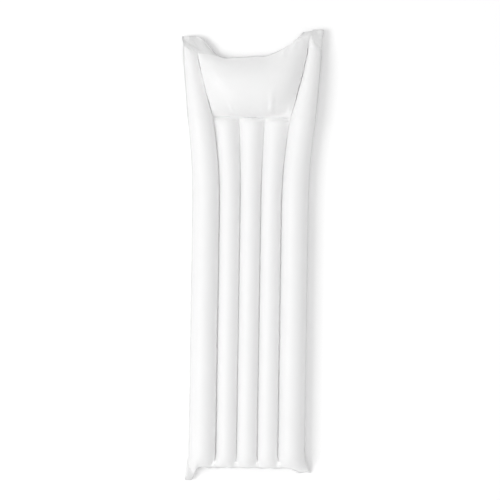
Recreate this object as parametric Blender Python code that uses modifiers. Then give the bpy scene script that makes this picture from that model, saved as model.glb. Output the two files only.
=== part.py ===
"""A pool air mattress of white PVC film, inflated: two welded sheets and two push-in valves.

Metres, +Z up. The mattress lies on the floor at Z = 0 with its head end at +Y, and the origin
is under the middle of its outline. Each sheet is one film with five tubes and a pillow blown
out of it. The sheets meet at the hem, at the seams between the tubes and at the cross weld
below the pillow. The body and the pillow are two air chambers, each with its own valve in the
bottom sheet: a recessed base, a stem that pulls out to be blown into, a non-return flap on the
stem's inner end and a plug on a hinged strap in its mouth.
"""

import math

import bmesh
import bpy
from mathutils import Matrix, Vector

# The inflated envelope. Y counts from the foot edge while a row of the sheet is laid out.
TUBE_LENGTH = 1.41
PILLOW_LENGTH = 0.25
EAR_LENGTH = 0.3385
MIDDLE_TUBE = 0.078
SIDE_TUBE = 0.099
MIDDLE_TUBES = 3
SEAM = 0.005
HEM = 0.008
FILM = 0.00022

# How far the seams and the edge spread from their straight middle stretch
PILLOW_SPREAD_LENGTH = 0.36
CROSS_SEAM_SPREAD = 0.031
CROSS_EDGE_SPREAD = 0.024
HEAD_SEAM_SPREAD = 0.118
HEAD_EDGE_SPREAD = 0.054
FOOT_SPREAD_LENGTH = 0.070
FOOT_SEAM_SPREAD = 0.010
FOOT_EDGE_SPREAD = 0.030
FOOT_EAR_DROP = 0.015
FOOT_EAR_START = 0.6
HEAD_EAR_START = 0.3
EAR_SKEW = 0.033
NOTCH_SHIFT = 0.040
EAR_FLAT = 0.14
LEFT_EAR_FOLD = 0.22
LEFT_EAR_HANG = 0.020
RIGHT_EAR_HANG = 0.004

# The chambers' rounded ends, the air passages past the foot ends of the seams, and the pillow
FOOT_CAP = 0.050
CROSS_CAP = 0.035
PASSAGE_SHARE = 0.45
PILLOW_RISE = 0.090
PILLOW_DEPTH = 0.068
PILLOW_CROWN = 4.2
PILLOW_FULLNESS = 0.43
PILLOW_LIFT = 0.008
PILLOW_LIFT_LENGTH = 0.12
HEAD_SIDE_RADIUS = 0.026

# Facets across a tube. The side tube's odd number puts one facet flat on the floor.
MIDDLE_FACETS = 4
SIDE_FACETS = 5
FOOT_CAP_ROWS = 3
CROSS_CAP_ROWS = 2
PILLOW_TURNS = (0, 17, 38, 64, 90, 116, 142, 163, 180)
STRAIGHT_ROWS = (0.5, 0.76, 0.9)

# The clearance between pieces, and how deep the floor presses the side tubes flat
GAP = 0.0003
FLOOR_PRESS = 0.0005

# One valve. Depths are measured inwards from the seat of its base under the film.
RECESS_RADIUS = 0.0095
FLANGE_RADIUS = 0.0135
BASE_WALL = 0.0008
GUIDE_DEPTH = 0.0088
GUIDE_LENGTH = 0.0012
GUIDE_WALL = 0.0011
STEM_RADIUS = 0.0050
BORE_RADIUS = 0.0035
STEM_STROKE = 0.0080
MOUTH_DEPTH = 0.0019
COLLAR_RADIUS = 0.0070
COLLAR_LENGTH = 0.0012
PLUG_HEAD_RADIUS = 0.0055
PLUG_HEAD = 0.0011
SPIGOT_LENGTH = 0.0030
SPIGOT_TAPER = 0.0006
STRAP_WIDTH = 0.0030
STRAP = 0.0009
HINGE_RADIUS = 0.0071
FLAP_RADIUS = 0.0046
FLAP = 0.0005
FLAP_ROOT_START = 0.0053
FLAP_ROOT_END = 0.0065
STEPS = 24
HOLE_STEPS = 16
BODY_VALVE_Y = 1.0

MIDDLE_RADIUS = MIDDLE_TUBE / 2
SIDE_RADIUS = SIDE_TUBE / 2
HALF_SEAM = SEAM / 2
SEAM_LINE = (MIDDLE_TUBE + SEAM) * MIDDLE_TUBES / 2
BODY_EDGE = SEAM_LINE + HALF_SEAM + SIDE_TUBE + HEM
OUTLINE_MIDDLE = (TUBE_LENGTH + EAR_LENGTH + EAR_SKEW / 2 - FOOT_EAR_DROP) / 2
PILLOW_START = TUBE_LENGTH + SEAM
PILLOW_SPAN = PILLOW_LENGTH - SEAM - HEM
PILLOW_SIDE_SPAN = EAR_LENGTH - SEAM - HEM
SEAM_PLANE = SIDE_RADIUS + FILM + GAP / 2 - FLOOR_PRESS

FILM_WHITE = (0.86, 0.86, 0.86, 1.0)
VALVE_WHITE = (0.80, 0.81, 0.80, 1.0)


def smooth_step(value):
    """0 below 0, 1 above 1, and a smooth rise between."""
    t = min(1.0, max(0.0, value))
    return t * t * (3 - 2 * t)


def round_end(share):
    """Height of a rounded end at a share of its length, as a share of the full height."""
    t = min(1.0, max(0.0, share))
    return math.sqrt(1 - (1 - t) ** 2)


def pulled_flat(half_width, radius):
    """Half height of a tube of this radius once its welds are spread to half_width."""
    spread = (half_width / radius - 1) / (math.pi / 2 - 1)
    return radius * math.sqrt(max(0.0, 1 - spread * spread))


def arc(start, end, facets, height):
    """(x, half height) of the points of a tube's section, from one weld to the next."""
    turns = [math.pi * k / facets for k in range(facets + 1)]
    return [
        (start + (end - start) * (1 - math.cos(turn)) / 2, height * math.sin(turn))
        for turn in turns
    ]


def side_arc(seam_line, edge, radius, share):
    """The side tube's section, with the hem beside it."""
    start = seam_line + HALF_SEAM
    end = edge - HEM
    height = radius * share / math.cos(math.pi / 2 / SIDE_FACETS)
    return arc(start, end, SIDE_FACETS, height) + [(edge, 0.0)]


def tube_row(y):
    """(x, y, middle, half height) of a row across half the tubes, from the middle line out."""
    near_pillow = max(0.0, 1 - (TUBE_LENGTH - y) / PILLOW_SPREAD_LENGTH) ** 2
    near_foot = max(0.0, 1 - y / FOOT_SPREAD_LENGTH) ** 2
    seam_line = SEAM_LINE + CROSS_SEAM_SPREAD * near_pillow + FOOT_SEAM_SPREAD * near_foot
    edge = BODY_EDGE + CROSS_EDGE_SPREAD * near_pillow + FOOT_EDGE_SPREAD * near_foot
    foot = round_end((y - HEM) / FOOT_CAP)
    cross = round_end((TUBE_LENGTH - y) / CROSS_CAP)
    pitch = seam_line * 2 / MIDDLE_TUBES
    half_tube = pitch / 2 - HALF_SEAM
    height = pulled_flat(half_tube, MIDDLE_RADIUS) * foot * cross
    centre = arc(-half_tube, half_tube, MIDDLE_FACETS, height)[MIDDLE_FACETS // 2 :]
    outer = arc(pitch - half_tube, pitch + half_tube, MIDDLE_FACETS, height)
    side = side_arc(seam_line, edge, SIDE_RADIUS, foot)
    if y < HEM + FOOT_CAP / 2 - GAP:
        passage = height * PASSAGE_SHARE
        centre[-1] = (centre[-1][0], passage)
        outer[0] = (outer[0][0], passage)
        outer[-1] = (outer[-1][0], passage)
        side[0] = (side[0][0], passage)
    middle = SEAM_PLANE + PILLOW_LIFT * smooth_step(1 - (TUBE_LENGTH - y) / PILLOW_LIFT_LENGTH)
    drop = FOOT_EAR_DROP * near_foot
    row = []
    for x, height in centre + outer + side:
        corner = smooth_step((x / edge - FOOT_EAR_START) / (1 - FOOT_EAR_START))
        row.append((x, y - drop * corner, middle, height))
    return row


def pillow_row(turn, depth, side, past=0.0):
    """A row across half the pillow, left (side -1) or right (side 1) of the middle line."""
    share = (1 - math.cos(turn)) / 2
    y = PILLOW_START + PILLOW_SPAN * share + past
    y_side = PILLOW_START + PILLOW_SIDE_SPAN * share + past
    along = (y_side - TUBE_LENGTH) / EAR_LENGTH
    seam_line = SEAM_LINE + CROSS_SEAM_SPREAD + (HEAD_SEAM_SPREAD - CROSS_SEAM_SPREAD) * along
    edge = BODY_EDGE + CROSS_EDGE_SPREAD + (HEAD_EDGE_SPREAD - CROSS_EDGE_SPREAD) * along
    half_pillow = seam_line - HALF_SEAM
    side_radius = SIDE_RADIUS + (HEAD_SIDE_RADIUS - SIDE_RADIUS) * along
    cells = MIDDLE_FACETS // 2 + 1 + MIDDLE_FACETS
    fold = LEFT_EAR_FOLD if side < 0 else EAR_FLAT
    points = []
    for k in range(cells + 1):
        out = math.sin(math.pi / 2 * k / cells)
        crown = max(0.0, 1 - out**PILLOW_CROWN) ** PILLOW_FULLNESS
        flat = fold * smooth_step((out - 0.4) / 0.5)
        points.append((half_pillow * out, depth * crown * math.sin(min(math.pi, turn / (1 - flat)))))
    full = math.sqrt(max(0.0, 1 - (turn / math.pi / (1 - EAR_FLAT)) ** 4))
    points += side_arc(seam_line, edge, side_radius, full)
    notch = -NOTCH_SHIFT * along * side
    hang = LEFT_EAR_HANG if side < 0 else RIGHT_EAR_HANG
    hang *= smooth_step((share - 0.80) / 0.20)
    row = []
    for x, height in points:
        reach = seam_line - notch if x > notch else seam_line + notch
        curve = smooth_step((abs(x - notch) / reach - HEAD_EAR_START) / (1 - HEAD_EAR_START))
        lean = max(-1.0, min(1.0, (side * x + 0.03) / 0.25))
        place = y + (y_side - y) * curve + EAR_SKEW / 2 * lean * smooth_step(along)
        corner = smooth_step((x / seam_line - 0.4) / 0.6)
        row.append((x, place, SEAM_PLANE + PILLOW_LIFT - hang * corner, height))
    return row


def half_rows(side, pillow_depth):
    """The rows of one half of a sheet from the foot edge to the head edge."""
    tube_start = HEM + FOOT_CAP
    tube_end = TUBE_LENGTH - CROSS_CAP
    ys = [0.0]
    for k in range(FOOT_CAP_ROWS + 1):
        ys.append(HEM + FOOT_CAP * (1 - math.cos(math.pi / 2 * k / FOOT_CAP_ROWS)))
    ys += [tube_start + (tube_end - tube_start) * share for share in STRAIGHT_ROWS]
    for k in range(CROSS_CAP_ROWS + 1):
        ys.append(tube_end + CROSS_CAP * math.sin(math.pi / 2 * k / CROSS_CAP_ROWS))
    rows = [tube_row(y) for y in ys]
    rows += [pillow_row(math.radians(turn), pillow_depth, side) for turn in PILLOW_TURNS]
    rows.append(pillow_row(math.pi, 0.0, side, past=HEM))
    return rows


def pvc(name, colour, roughness):
    """Plain soft PVC."""
    material = bpy.data.materials.new(name)
    material.use_nodes = True
    shader = material.node_tree.nodes["Principled BSDF"]
    shader.inputs["Base Color"].default_value = colour
    shader.inputs["Roughness"].default_value = roughness
    material.diffuse_color = colour
    return material


def collection(name):
    """A new collection in the scene."""
    made = bpy.data.collections.new(name)
    bpy.context.scene.collection.children.link(made)
    return made


def mesh_object(name, bm, group):
    """A mesh object from a bmesh, which is freed."""
    mesh = bpy.data.meshes.new(name)
    bm.to_mesh(mesh)
    bm.free()
    made = bpy.data.objects.new(name, mesh)
    group.objects.link(made)
    return made


def film_sheet(name, side, pillow_depth, group):
    """The top sheet (side 1) or the bottom sheet (side -1), with its outer face outermost."""
    halves = {-1: half_rows(-1, pillow_depth), 1: half_rows(1, pillow_depth)}
    row_cells = len(halves[1]) - 1
    half_cells = len(halves[1][0]) - 1
    bm = bmesh.new()
    bmesh.ops.create_grid(bm, x_segments=half_cells * 2, y_segments=row_cells, size=1.0)
    for vert in bm.verts:
        column = round(vert.co.x * half_cells)
        row = round((vert.co.y + 1) / 2 * row_cells)
        half = -1 if column < 0 else 1
        x, y, middle, half_height = halves[half][row][abs(column)]
        z = middle + side * (half_height + FILM + GAP / 2)
        vert.co = Vector((half * x, y - OUTLINE_MIDDLE, max(0.0, z)))
    if side < 0:
        bmesh.ops.reverse_faces(bm, faces=bm.faces)
    sheet = mesh_object(name, bm, group)
    sheet.data.shade_smooth()
    sheet.data.materials.append(pvc(name, FILM_WHITE, 0.4))
    film = sheet.modifiers.new("Film", "SOLIDIFY")
    film.thickness = FILM
    film.offset = -1.0
    return sheet


def outline(points, closed):
    """A bmesh of one edge loop or chain of (radius, height) points in the XZ plane."""
    bm = bmesh.new()
    verts = [bm.verts.new((radius, 0.0, height)) for radius, height in points]
    for start, end in zip(verts, verts[1:]):
        bm.edges.new((start, end))
    if closed:
        bm.edges.new((verts[-1], verts[0]))
    return bm


def turn_round(piece, axis=None):
    """Sweeps the piece's profile round its own Z axis, or round that of another object."""
    screw = piece.modifiers.new("Turn", "SCREW")
    screw.object = axis
    screw.steps = STEPS
    screw.render_steps = STEPS
    screw.use_merge_vertices = True
    screw.merge_threshold = 0.00001
    screw.use_smooth_shade = True


def helper(bm, name, group):
    """A hidden mesh that a Boolean uses."""
    made = mesh_object(name, bm, group)
    made.hide_render = True
    made.display_type = "WIRE"
    return made


def block(low, high):
    """A bmesh box between two corners."""
    bm = bmesh.new()
    low = Vector(low)
    high = Vector(high)
    placed = Matrix.Translation((low + high) / 2) @ Matrix.Diagonal((*(high - low), 1.0))
    bmesh.ops.create_cube(bm, size=1.0, matrix=placed)
    return bm


def disc(radius, height, segments, centre):
    """A bmesh cylinder along Z."""
    bm = bmesh.new()
    bmesh.ops.create_cone(
        bm,
        cap_ends=True,
        segments=segments,
        radius1=radius,
        radius2=radius,
        depth=height,
        matrix=Matrix.Translation(centre),
    )
    return bm


def boolean(piece, other, operation):
    """Cuts another mesh from a piece, or joins it on."""
    change = piece.modifiers.new(other.name, "BOOLEAN")
    change.operation = operation
    change.object = other
    change.solver = "EXACT"


def frame(name, parent, location, group):
    """An empty that holds a place or a hinge axis."""
    made = bpy.data.objects.new(name, None)
    group.objects.link(made)
    made.parent = parent
    made.location = location
    return made


def valve(name, centre, sheet, group, helpers):
    """One valve in the bottom sheet. Its own +Z points out of the mattress, so downwards."""
    mount = frame(name + "_axis", None, centre, group)
    mount.rotation_euler = (math.pi, 0.0, 0.0)
    seat = -(FILM + GAP)
    guide = STEM_RADIUS + GAP
    guide_end = seat - GUIDE_DEPTH
    mouth = seat - MOUTH_DEPTH
    collar_face = guide_end - STEM_STROKE - GAP
    inner_end = collar_face - COLLAR_LENGTH
    in_wall = (STEM_RADIUS + BORE_RADIUS) / 2
    half_strap = STRAP_WIDTH / 2
    strap_end = HINGE_RADIUS - GAP / 2

    base_profile = [
        (FLANGE_RADIUS, seat),
        (FLANGE_RADIUS, seat - BASE_WALL),
        (RECESS_RADIUS + BASE_WALL, seat - BASE_WALL),
        (guide + GUIDE_WALL, guide_end + GUIDE_LENGTH),
        (guide + GUIDE_WALL, guide_end),
        (guide, guide_end),
        (guide, guide_end + GUIDE_LENGTH),
        (RECESS_RADIUS, seat),
    ]
    base = mesh_object(name + "_base", outline(base_profile, True), group)
    turn_round(base)

    stem_profile = [
        (STEM_RADIUS, mouth),
        (STEM_RADIUS, collar_face),
        (COLLAR_RADIUS, collar_face),
        (COLLAR_RADIUS, inner_end),
        (BORE_RADIUS, inner_end),
        (BORE_RADIUS, mouth),
    ]
    stem = mesh_object(name + "_stem", outline(stem_profile, True), group)
    turn_round(stem)
    lug = block(
        (in_wall, -half_strap, mouth - GAP - STRAP),
        (strap_end, half_strap, mouth - GAP),
    )
    flap_face = inner_end - GAP
    flap_root = block(
        (FLAP_ROOT_START, -half_strap, flap_face - FLAP),
        (FLAP_ROOT_END, half_strap, inner_end + COLLAR_LENGTH / 2),
    )
    for bm, what in ((lug, "_lug"), (flap_root, "_flap_root")):
        added = helper(bm, name + what, helpers)
        added.parent = mount
        boolean(stem, added, "UNION")

    hinge = Vector((HINGE_RADIUS, 0.0, mouth + GAP / 2))
    plug_pivot = frame(name + "_plug_pivot", mount, hinge, group)
    head_face = mouth + GAP
    spigot = BORE_RADIUS - GAP
    plug_profile = [
        (0.0, head_face + PLUG_HEAD),
        (PLUG_HEAD_RADIUS, head_face + PLUG_HEAD),
        (PLUG_HEAD_RADIUS, head_face),
        (spigot, head_face),
        (spigot - SPIGOT_TAPER, head_face - SPIGOT_LENGTH),
        (0.0, head_face - SPIGOT_LENGTH),
    ]
    plug_bm = outline(plug_profile, False)
    strap_bm = block((in_wall, -half_strap, head_face), (strap_end, half_strap, head_face + STRAP))
    for bm in (plug_bm, strap_bm):
        bmesh.ops.translate(bm, verts=bm.verts, vec=-hinge)
    plug = mesh_object(name + "_plug", plug_bm, group)
    turn_round(plug, mount)
    strap = helper(strap_bm, name + "_strap", helpers)
    boolean(plug, strap, "UNION")
    plug.parent = plug_pivot
    strap.parent = plug_pivot

    flap_hinge = Vector((FLAP_RADIUS + GAP, 0.0, flap_face + GAP / 2))
    flap_pivot = frame(name + "_flap_pivot", mount, flap_hinge, group)
    flap_middle = Vector((0.0, 0.0, flap_face - FLAP / 2)) - flap_hinge
    flap = mesh_object(name + "_flap", disc(FLAP_RADIUS, FLAP, STEPS, flap_middle), group)
    flap.parent = flap_pivot

    for piece in (base, stem):
        piece.parent = mount
    for piece in (base, stem, plug, flap):
        piece.data.materials.append(pvc(piece.name, VALVE_WHITE, 0.35))
    hole = helper(disc(RECESS_RADIUS, RECESS_RADIUS, HOLE_STEPS, centre), name + "_hole", helpers)
    boolean(sheet, hole, "DIFFERENCE")


def build():
    """The whole mattress."""
    for old in list(bpy.data.objects):
        bpy.data.objects.remove(old)
    group = collection("pool_air_mattress")
    helpers = collection("cutters")
    film_sheet("top_sheet", 1, PILLOW_RISE, group)
    bottom = film_sheet("bottom_sheet", -1, PILLOW_DEPTH, group)
    side_middle = SEAM_LINE + HALF_SEAM + SIDE_RADIUS
    pillow_middle = PILLOW_START + PILLOW_SPAN / 2
    body_place = Vector((-side_middle, BODY_VALVE_Y - OUTLINE_MIDDLE, 0.0))
    pillow_place = Vector((0.0, pillow_middle - OUTLINE_MIDDLE, 0.0))
    valve("body_valve", body_place, bottom, group, helpers)
    valve("pillow_valve", pillow_place, bottom, group, helpers)


build()
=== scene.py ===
"""Dresses the pool air mattress: its inflated film, its valves, and a studio to look at it in.

The film is cut as a flat pattern, placed in its blown-up form and inflated with cloth pressure,
so that the creases at the seams, the cross weld and the ears come from the film itself.
Metres, +Z up. The floor is at Z = 0 and the head end is at +Y.
"""

import math
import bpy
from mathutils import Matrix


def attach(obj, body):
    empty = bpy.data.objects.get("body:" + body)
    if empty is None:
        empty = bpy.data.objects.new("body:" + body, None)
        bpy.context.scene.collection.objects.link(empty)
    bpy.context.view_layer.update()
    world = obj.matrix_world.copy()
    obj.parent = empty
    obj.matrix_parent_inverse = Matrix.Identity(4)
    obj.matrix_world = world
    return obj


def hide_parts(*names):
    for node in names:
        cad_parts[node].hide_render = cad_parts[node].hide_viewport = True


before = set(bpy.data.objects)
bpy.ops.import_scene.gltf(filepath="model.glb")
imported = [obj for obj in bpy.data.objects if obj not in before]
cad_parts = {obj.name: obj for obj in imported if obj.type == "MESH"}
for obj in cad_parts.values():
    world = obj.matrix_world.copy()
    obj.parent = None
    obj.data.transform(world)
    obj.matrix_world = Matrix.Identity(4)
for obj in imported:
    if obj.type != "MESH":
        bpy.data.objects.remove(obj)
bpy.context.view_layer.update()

from types import SimpleNamespace

import bmesh
import bpy
import numpy as np
from mathutils import Matrix, Vector

bl_info = {
    "name": "Pool air mattress",
    "version": (1, 0, 0),
    "blender": (4, 5, 0),
    "location": "View3D > Sidebar > Mattress",
    "description": "Makes an inflated pool air mattress with its valves and a studio",
    "category": "Add Mesh",
}

# Arc lengths of the capped tube ends: the foot's as a share of its cap, the cross weld's as an excess
FOOT_ARC_SHARE = 1.49
CROSS_ARC_EXCESS = 0.022

# The pillow's cross-section: a superellipse's power and roundness, and how low its sides bulge out
PILLOW_POWER = 4.2
PILLOW_ROUNDNESS = 0.43
PILLOW_BULGE_SHARE = 0.62

# How high the air passage opens, as a share of the tube's height beside it
PASSAGE_OPENING = 0.45

# How far the gathers reach from the foot's edge and from the head's, in metres
FOOT_GATHERS = 0.05
HEAD_GATHERS = 0.06

# Airless lengths from which an ear hangs in full and its hem lies flat, in metres
FULL_HANG = 0.04
FLAT_HEM = 0.03

# How much of the left ear's drop the right ear has, and how much an ear's side hem unfolds
RIGHT_EAR_DROP = 0.6
EAR_UNFOLD = 0.6

# The head's slant: the line that it turns round, left of the middle, and half its width, in metres
SLANT_LINE = 0.03
SLANT_WIDTH = 0.25

# Where a foot corner starts and over what distance, as shares of the half width: left (-1), right (1)
FOOT_CORNER = {-1: (0.79, 0.09), 1: (0.66, 0.22)}

# A column counts as part of an ear where its airless film is longer than this, in metres
LEAST_EAR = 0.004

# Length over which the film turns from pressed to blown up at an ear, in metres
EAR_EDGE = 0.016

# How much darker the doubled film is, and what share of that the side hems show
DOUBLED_TONE = 0.86
SIDE_HEM_DOUBLED = 0.3

# Half the thickness of the two films at a weld, in metres
HALF_FILM = 0.0002

# Rings of a hole in the film: vertices in each, how far past the flange the last one is in metres,
# and how far past that the film is cut away
RING_STEPS = 48
RING_MARGIN = 0.0008
RING_REACH = 0.010

# Heights in a valve, in millimetres: 0 is the floor's level and negative is into the mattress
FLANGE_TOP = -0.52
GUIDE_END = -9.32
MOUTH = -2.42
STEM_END = -18.82
PLUG_TOP = -1.12
PLUG_SEAT = -2.12
SPIGOT_END = -5.12

# Distance of the plug's hinge from the stem's axis, in millimetres
HINGE_X = 7.1

# Pleats in the top film: start (x, y) in metres, heading in degrees from +Y, length, width, height
PLEATS = (
    (0.0755, 0.540, 2.0, 0.100, 0.0100, 0.0100),
    (-0.0755, 0.540, -14.0, 0.050, 0.0100, 0.0090),
    (0.1460, 0.540, 6.0, 0.055, 0.0100, 0.0080),
    (0.0080, 0.540, 5.0, 0.040, 0.0100, 0.0040),
    (-0.1530, 0.536, -38.0, 0.050, 0.0100, -0.0080),
    (0.0835, 0.688, 0.0, 0.030, 0.0090, 0.0035),
    (0.1340, 0.828, 198.0, 0.070, 0.0120, 0.0130),
    (0.1760, 0.850, 204.0, 0.060, 0.0120, 0.0100),
)


def length(name, default, about, low=0.0, high=3.0):
    """A length property, in metres."""
    return bpy.props.FloatProperty(
        name=name, description=about, default=default, min=low, max=high, precision=4, unit="LENGTH"
    )


def angle(name, degrees, about):
    """An angle property."""
    turn, most = math.radians(degrees), math.pi
    return bpy.props.FloatProperty(
        name=name, description=about, default=turn, min=-most, max=most, subtype="ANGLE"
    )


def power(name, default, about):
    """A light's power property, in watts."""
    return bpy.props.FloatProperty(
        name=name, description=about, default=default, min=0.0, max=1000.0, subtype="POWER"
    )


def number(name, default, about, high=10.0):
    """A plain number property."""
    return bpy.props.FloatProperty(name=name, description=about, default=default, min=0.0, max=high)


def count(name, default, about):
    """A whole number property."""
    return bpy.props.IntProperty(name=name, description=about, default=default, min=1, max=400)


def colour(name, default, about):
    """A colour property."""
    return bpy.props.FloatVectorProperty(
        name=name, description=about, default=default, size=3, subtype="COLOR", min=0.0, max=1.0
    )


def spot(name, default, about):
    """A property for a point seen from above, in metres."""
    return bpy.props.FloatVectorProperty(
        name=name, description=about, default=default, size=2, precision=4, unit="LENGTH"
    )


class MattressFilm(bpy.types.PropertyGroup):
    """Sizes of the two films, blown up and flat, and how they are inflated."""

    tube_length: length("Tubes", 1.41, "From the foot's edge to the cross weld")
    pillow_length: length("Pillow", 0.25, "From the cross weld to the head's edge, in the middle")
    ear_length: length("Ears", 0.347, "From the cross weld to the tips of the ears")
    middle_tube: length("Middle tube", 0.080, "Width of a middle tube, blown up")
    side_tube: length("Side tube", 0.103, "Width of a side tube, blown up")
    seam: length("Seam", 0.003, "Width of a weld between two tubes")
    hem: length("Hem", 0.008, "Width of the weld round the edge")
    hem_fold: angle("Hem's fold", 52.0, "How far the hem is turned down")
    middle_flat: length("Middle tube, flat", 0.127, "Width of a middle tube's film")
    side_flat: length("Side tube, flat", 0.162, "Width of a side tube's film")
    head_side_flat: length("Side tube at the head, flat", 0.085, "Width of its film at the head")
    head_seam_flat: length("Seam at the head, flat", 0.310, "Outer seam's distance from the middle there")
    pillow_flat: length("Pillow, flat", 0.350, "Length of the pillow's film")
    ear_side_flat: length("Ear, flat", 0.352, "Length of the film beside the pillow")
    outline_middle: length("Origin", 0.875, "Distance from the foot's edge to the frame's origin")
    plane: length("Weld height", 0.0492, "Height of the seams over the floor")
    pillow_lift: length("Pillow's lift", 0.008, "How much higher the pillow's seams are")
    pillow_lift_length: length("Lift's length", 0.12, "Length over which the seams rise to the pillow")
    pillow_rise: length("Pillow's rise", 0.088, "Height of the pillow over its seams")
    pillow_depth: length("Pillow's depth", 0.066, "Depth of the pillow below its seams")
    foot_cap: length("Foot cap", 0.050, "Length of a tube's rounded foot end")
    cross_cap: length("Cross cap", 0.020, "Length of a tube's rounded head end")
    passage: length("Air passage", 0.013, "Gap that lets air past the seams' foot ends")
    gather: number("Gather", 0.45, "Share of the film's slack that lies at the welds", high=1.0)
    cross_seam_spread: length("Seam's spread, cross weld", 0.031, "How far out the outer seam runs there")
    cross_edge_spread: length("Edge's spread, cross weld", 0.024, "How far out the edge runs there")
    head_seam_spread: length("Seam's spread, head", 0.118, "How far out the outer seam runs there")
    head_edge_spread: length("Edge's spread, head", 0.054, "How far out the edge runs there")
    cross_spread_length: length("Spread's length", 0.36, "Length over which the tubes spread to the pillow")
    foot_seam_spread: length("Seam's spread, foot", 0.010, "How far out the outer seam runs there")
    foot_left_spread: length("Left edge's spread, foot", 0.016, "How far out the left edge runs there")
    foot_right_spread: length("Right edge's spread, foot", 0.026, "How far out the right edge runs there")
    foot_spread_length: length("Foot's length", 0.07, "Length over which the foot end spreads and hangs")
    foot_ear_left: length("Left foot corner", 0.052, "How far the foot's left corner reaches")
    foot_ear_right: length("Right foot corner", 0.024, "How far the foot's right corner reaches")
    foot_ear_fall: length("Left foot corner's fall", 0.032, "How far the foot's left corner hangs")
    right_foot_fall: length("Right foot corner's fall", 0.042, "How far the foot's right corner hangs")
    foot_ear_dry: length("Left foot corner, airless", 0.045, "Length without air at the foot's left corner")
    ear_skew: length("Ear skew", 0.033, "How much further the right ear reaches")
    notch_shift: length("Notch shift", 0.040, "How far left of the middle the head's edge dips")
    left_ear_hem: length("Left ear's hem", 0.036, "Length without air at the left ear's hem")
    left_ear_seam: length("Left ear's seam", 0.070, "Length without air at the left ear's seam")
    right_ear_hem: length("Right ear's hem", 0.084, "Length without air at the right ear's hem")
    right_ear_seam: length("Right ear's seam", 0.016, "Length without air at the right ear's seam")
    pillow_overhang: length("Overhang", 0.009, "How far the pillow bulges past its seams")
    ear_drop: length("Ear's drop", 0.026, "How far an ear hangs")
    crinkle: length("Crinkle", 0.005, "Height of the gathers at the ends")
    noise: length("Noise", 0.0004, "Height of the uneven start that lets the film wrinkle")
    cells_middle: count("Cells, middle tube", 16, "Cells across a middle tube")
    cells_side: count("Cells, side tube", 20, "Cells across a side tube")
    fine_cell: length("Fine cell", 0.0080, "Length of a cell at the ends")
    ear_cell: length("Ear cell", 0.0055, "Length of a cell at the ears")
    long_cell: length("Long cell", 0.022, "Length of a cell along the tubes")
    frames: count("Frames", 22, "Frames for which the cloth runs")
    pressure: number("Pressure", 60.0, "Cloth pressure inside the film", high=500.0)
    most_move: length("Most move", 0.035, "Most that the cloth may move a point")
    colour: colour("Colour", (0.91, 0.91, 0.91), "Colour of the film")


class MattressValve(bpy.types.PropertyGroup):
    """Sizes of a valve and the places of both."""

    body_place: spot("Body valve", (-0.1765, 0.125), "Where the body's valve is")
    pillow_place: spot("Pillow valve", (0.0, 0.6585), "Where the pillow's valve is")
    flange: length("Flange", 0.0135, "Radius of the welded ring")
    recess: length("Recess", 0.0095, "Radius of the recess's mouth")
    guide: length("Guide", 0.0053, "Radius of the ring that guides the stem")
    stem: length("Stem", 0.0050, "Radius of the stem")
    bore: length("Bore", 0.0035, "Radius of the air's bore")
    collar: length("Collar", 0.0070, "Radius of the stem's stop collar")
    head: length("Plug's head", 0.0055, "Radius of the plug's head")
    flap: length("Flap", 0.0046, "Radius of the inner flap")
    steps: count("Steps", 64, "Steps round a turned piece")
    colour: colour("Colour", (0.80, 0.81, 0.80), "Colour of the valves")


class MattressStudio(bpy.types.PropertyGroup):
    """The camera, the lights and the floor."""

    camera_height: length("Camera's height", 4.6, "Height of the camera over the floor", high=20.0)
    picture_width: length("Picture's width", 2.03, "Width that the picture covers", high=10.0)
    camera_turn: angle("Camera's turn", 0.86, "Turn of the camera round the line of sight")
    centre: spot("Picture's centre", (0.001, 0.0065), "Point under the middle of the picture")
    key: power("Key light", 380.0, "Power of the soft light from the left")
    top: power("Overhead light", 80.0, "Power of the soft light from above")
    sky: number("Sky", 0.66, "Strength of the even light from all round")
    floor: colour("Floor", (0.9, 0.9, 0.9), "Colour of the floor that lights the mattress from below")


def smooth_step(value):
    """0 below 0, 1 above 1, and a smooth rise between."""
    t = min(1.0, max(0.0, value))
    return t * t * (3 - 2 * t)


def blend(a, b, share):
    """a at share 0 and b at share 1."""
    return a + (b - a) * share


def arc_half_angle(chord, arc):
    """Half the angle of the circular arc of this length over this chord."""
    ratio = min(0.99999, chord / arc)
    low, high = 0.001, 2.4
    for _ in range(40):
        middle = (low + high) / 2
        if math.sin(middle) / middle > ratio:
            low = middle
        else:
            high = middle
    return (low + high) / 2


def arc_points(start, end, arc, cells, share):
    """(x, height) along a blown-up panel between two welds, flattened to a share of its arc."""
    chord = end - start
    kept = chord + max(0.0, arc - chord) * share * share
    if kept <= chord * 1.00001:
        return [(start + chord * k / cells, 0.0) for k in range(cells + 1)]
    half = arc_half_angle(chord, kept)
    radius = chord / 2 / math.sin(half)
    middle = (start + end) / 2
    points = []
    for k in range(cells + 1):
        turn = half * (2 * k / cells - 1)
        height = radius * (math.cos(turn) - math.cos(half))
        points.append((middle + radius * math.sin(turn), height))
    return points


def pillow_points(half_width, height, overhang, cells):
    """(x, height) across half the pillow, evenly spaced along the film; it bulges past its seam."""
    fine = 200
    xs = np.sin(np.linspace(0, math.pi / 2, fine + 1))
    zs = height * np.maximum(0.0, 1 - xs**PILLOW_POWER) ** PILLOW_ROUNDNESS
    low = np.minimum(1.0, zs / max(PILLOW_BULGE_SHARE * height, 1e-6))
    xs = xs * half_width + overhang * np.sin(math.pi * low)
    steps = np.hypot(np.diff(xs), np.diff(zs))
    along = np.concatenate([[0.0], np.cumsum(steps)])
    wanted = np.linspace(0.0, along[-1], cells + 1)
    return list(zip(np.interp(wanted, along, xs), np.interp(wanted, along, zs)))


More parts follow.
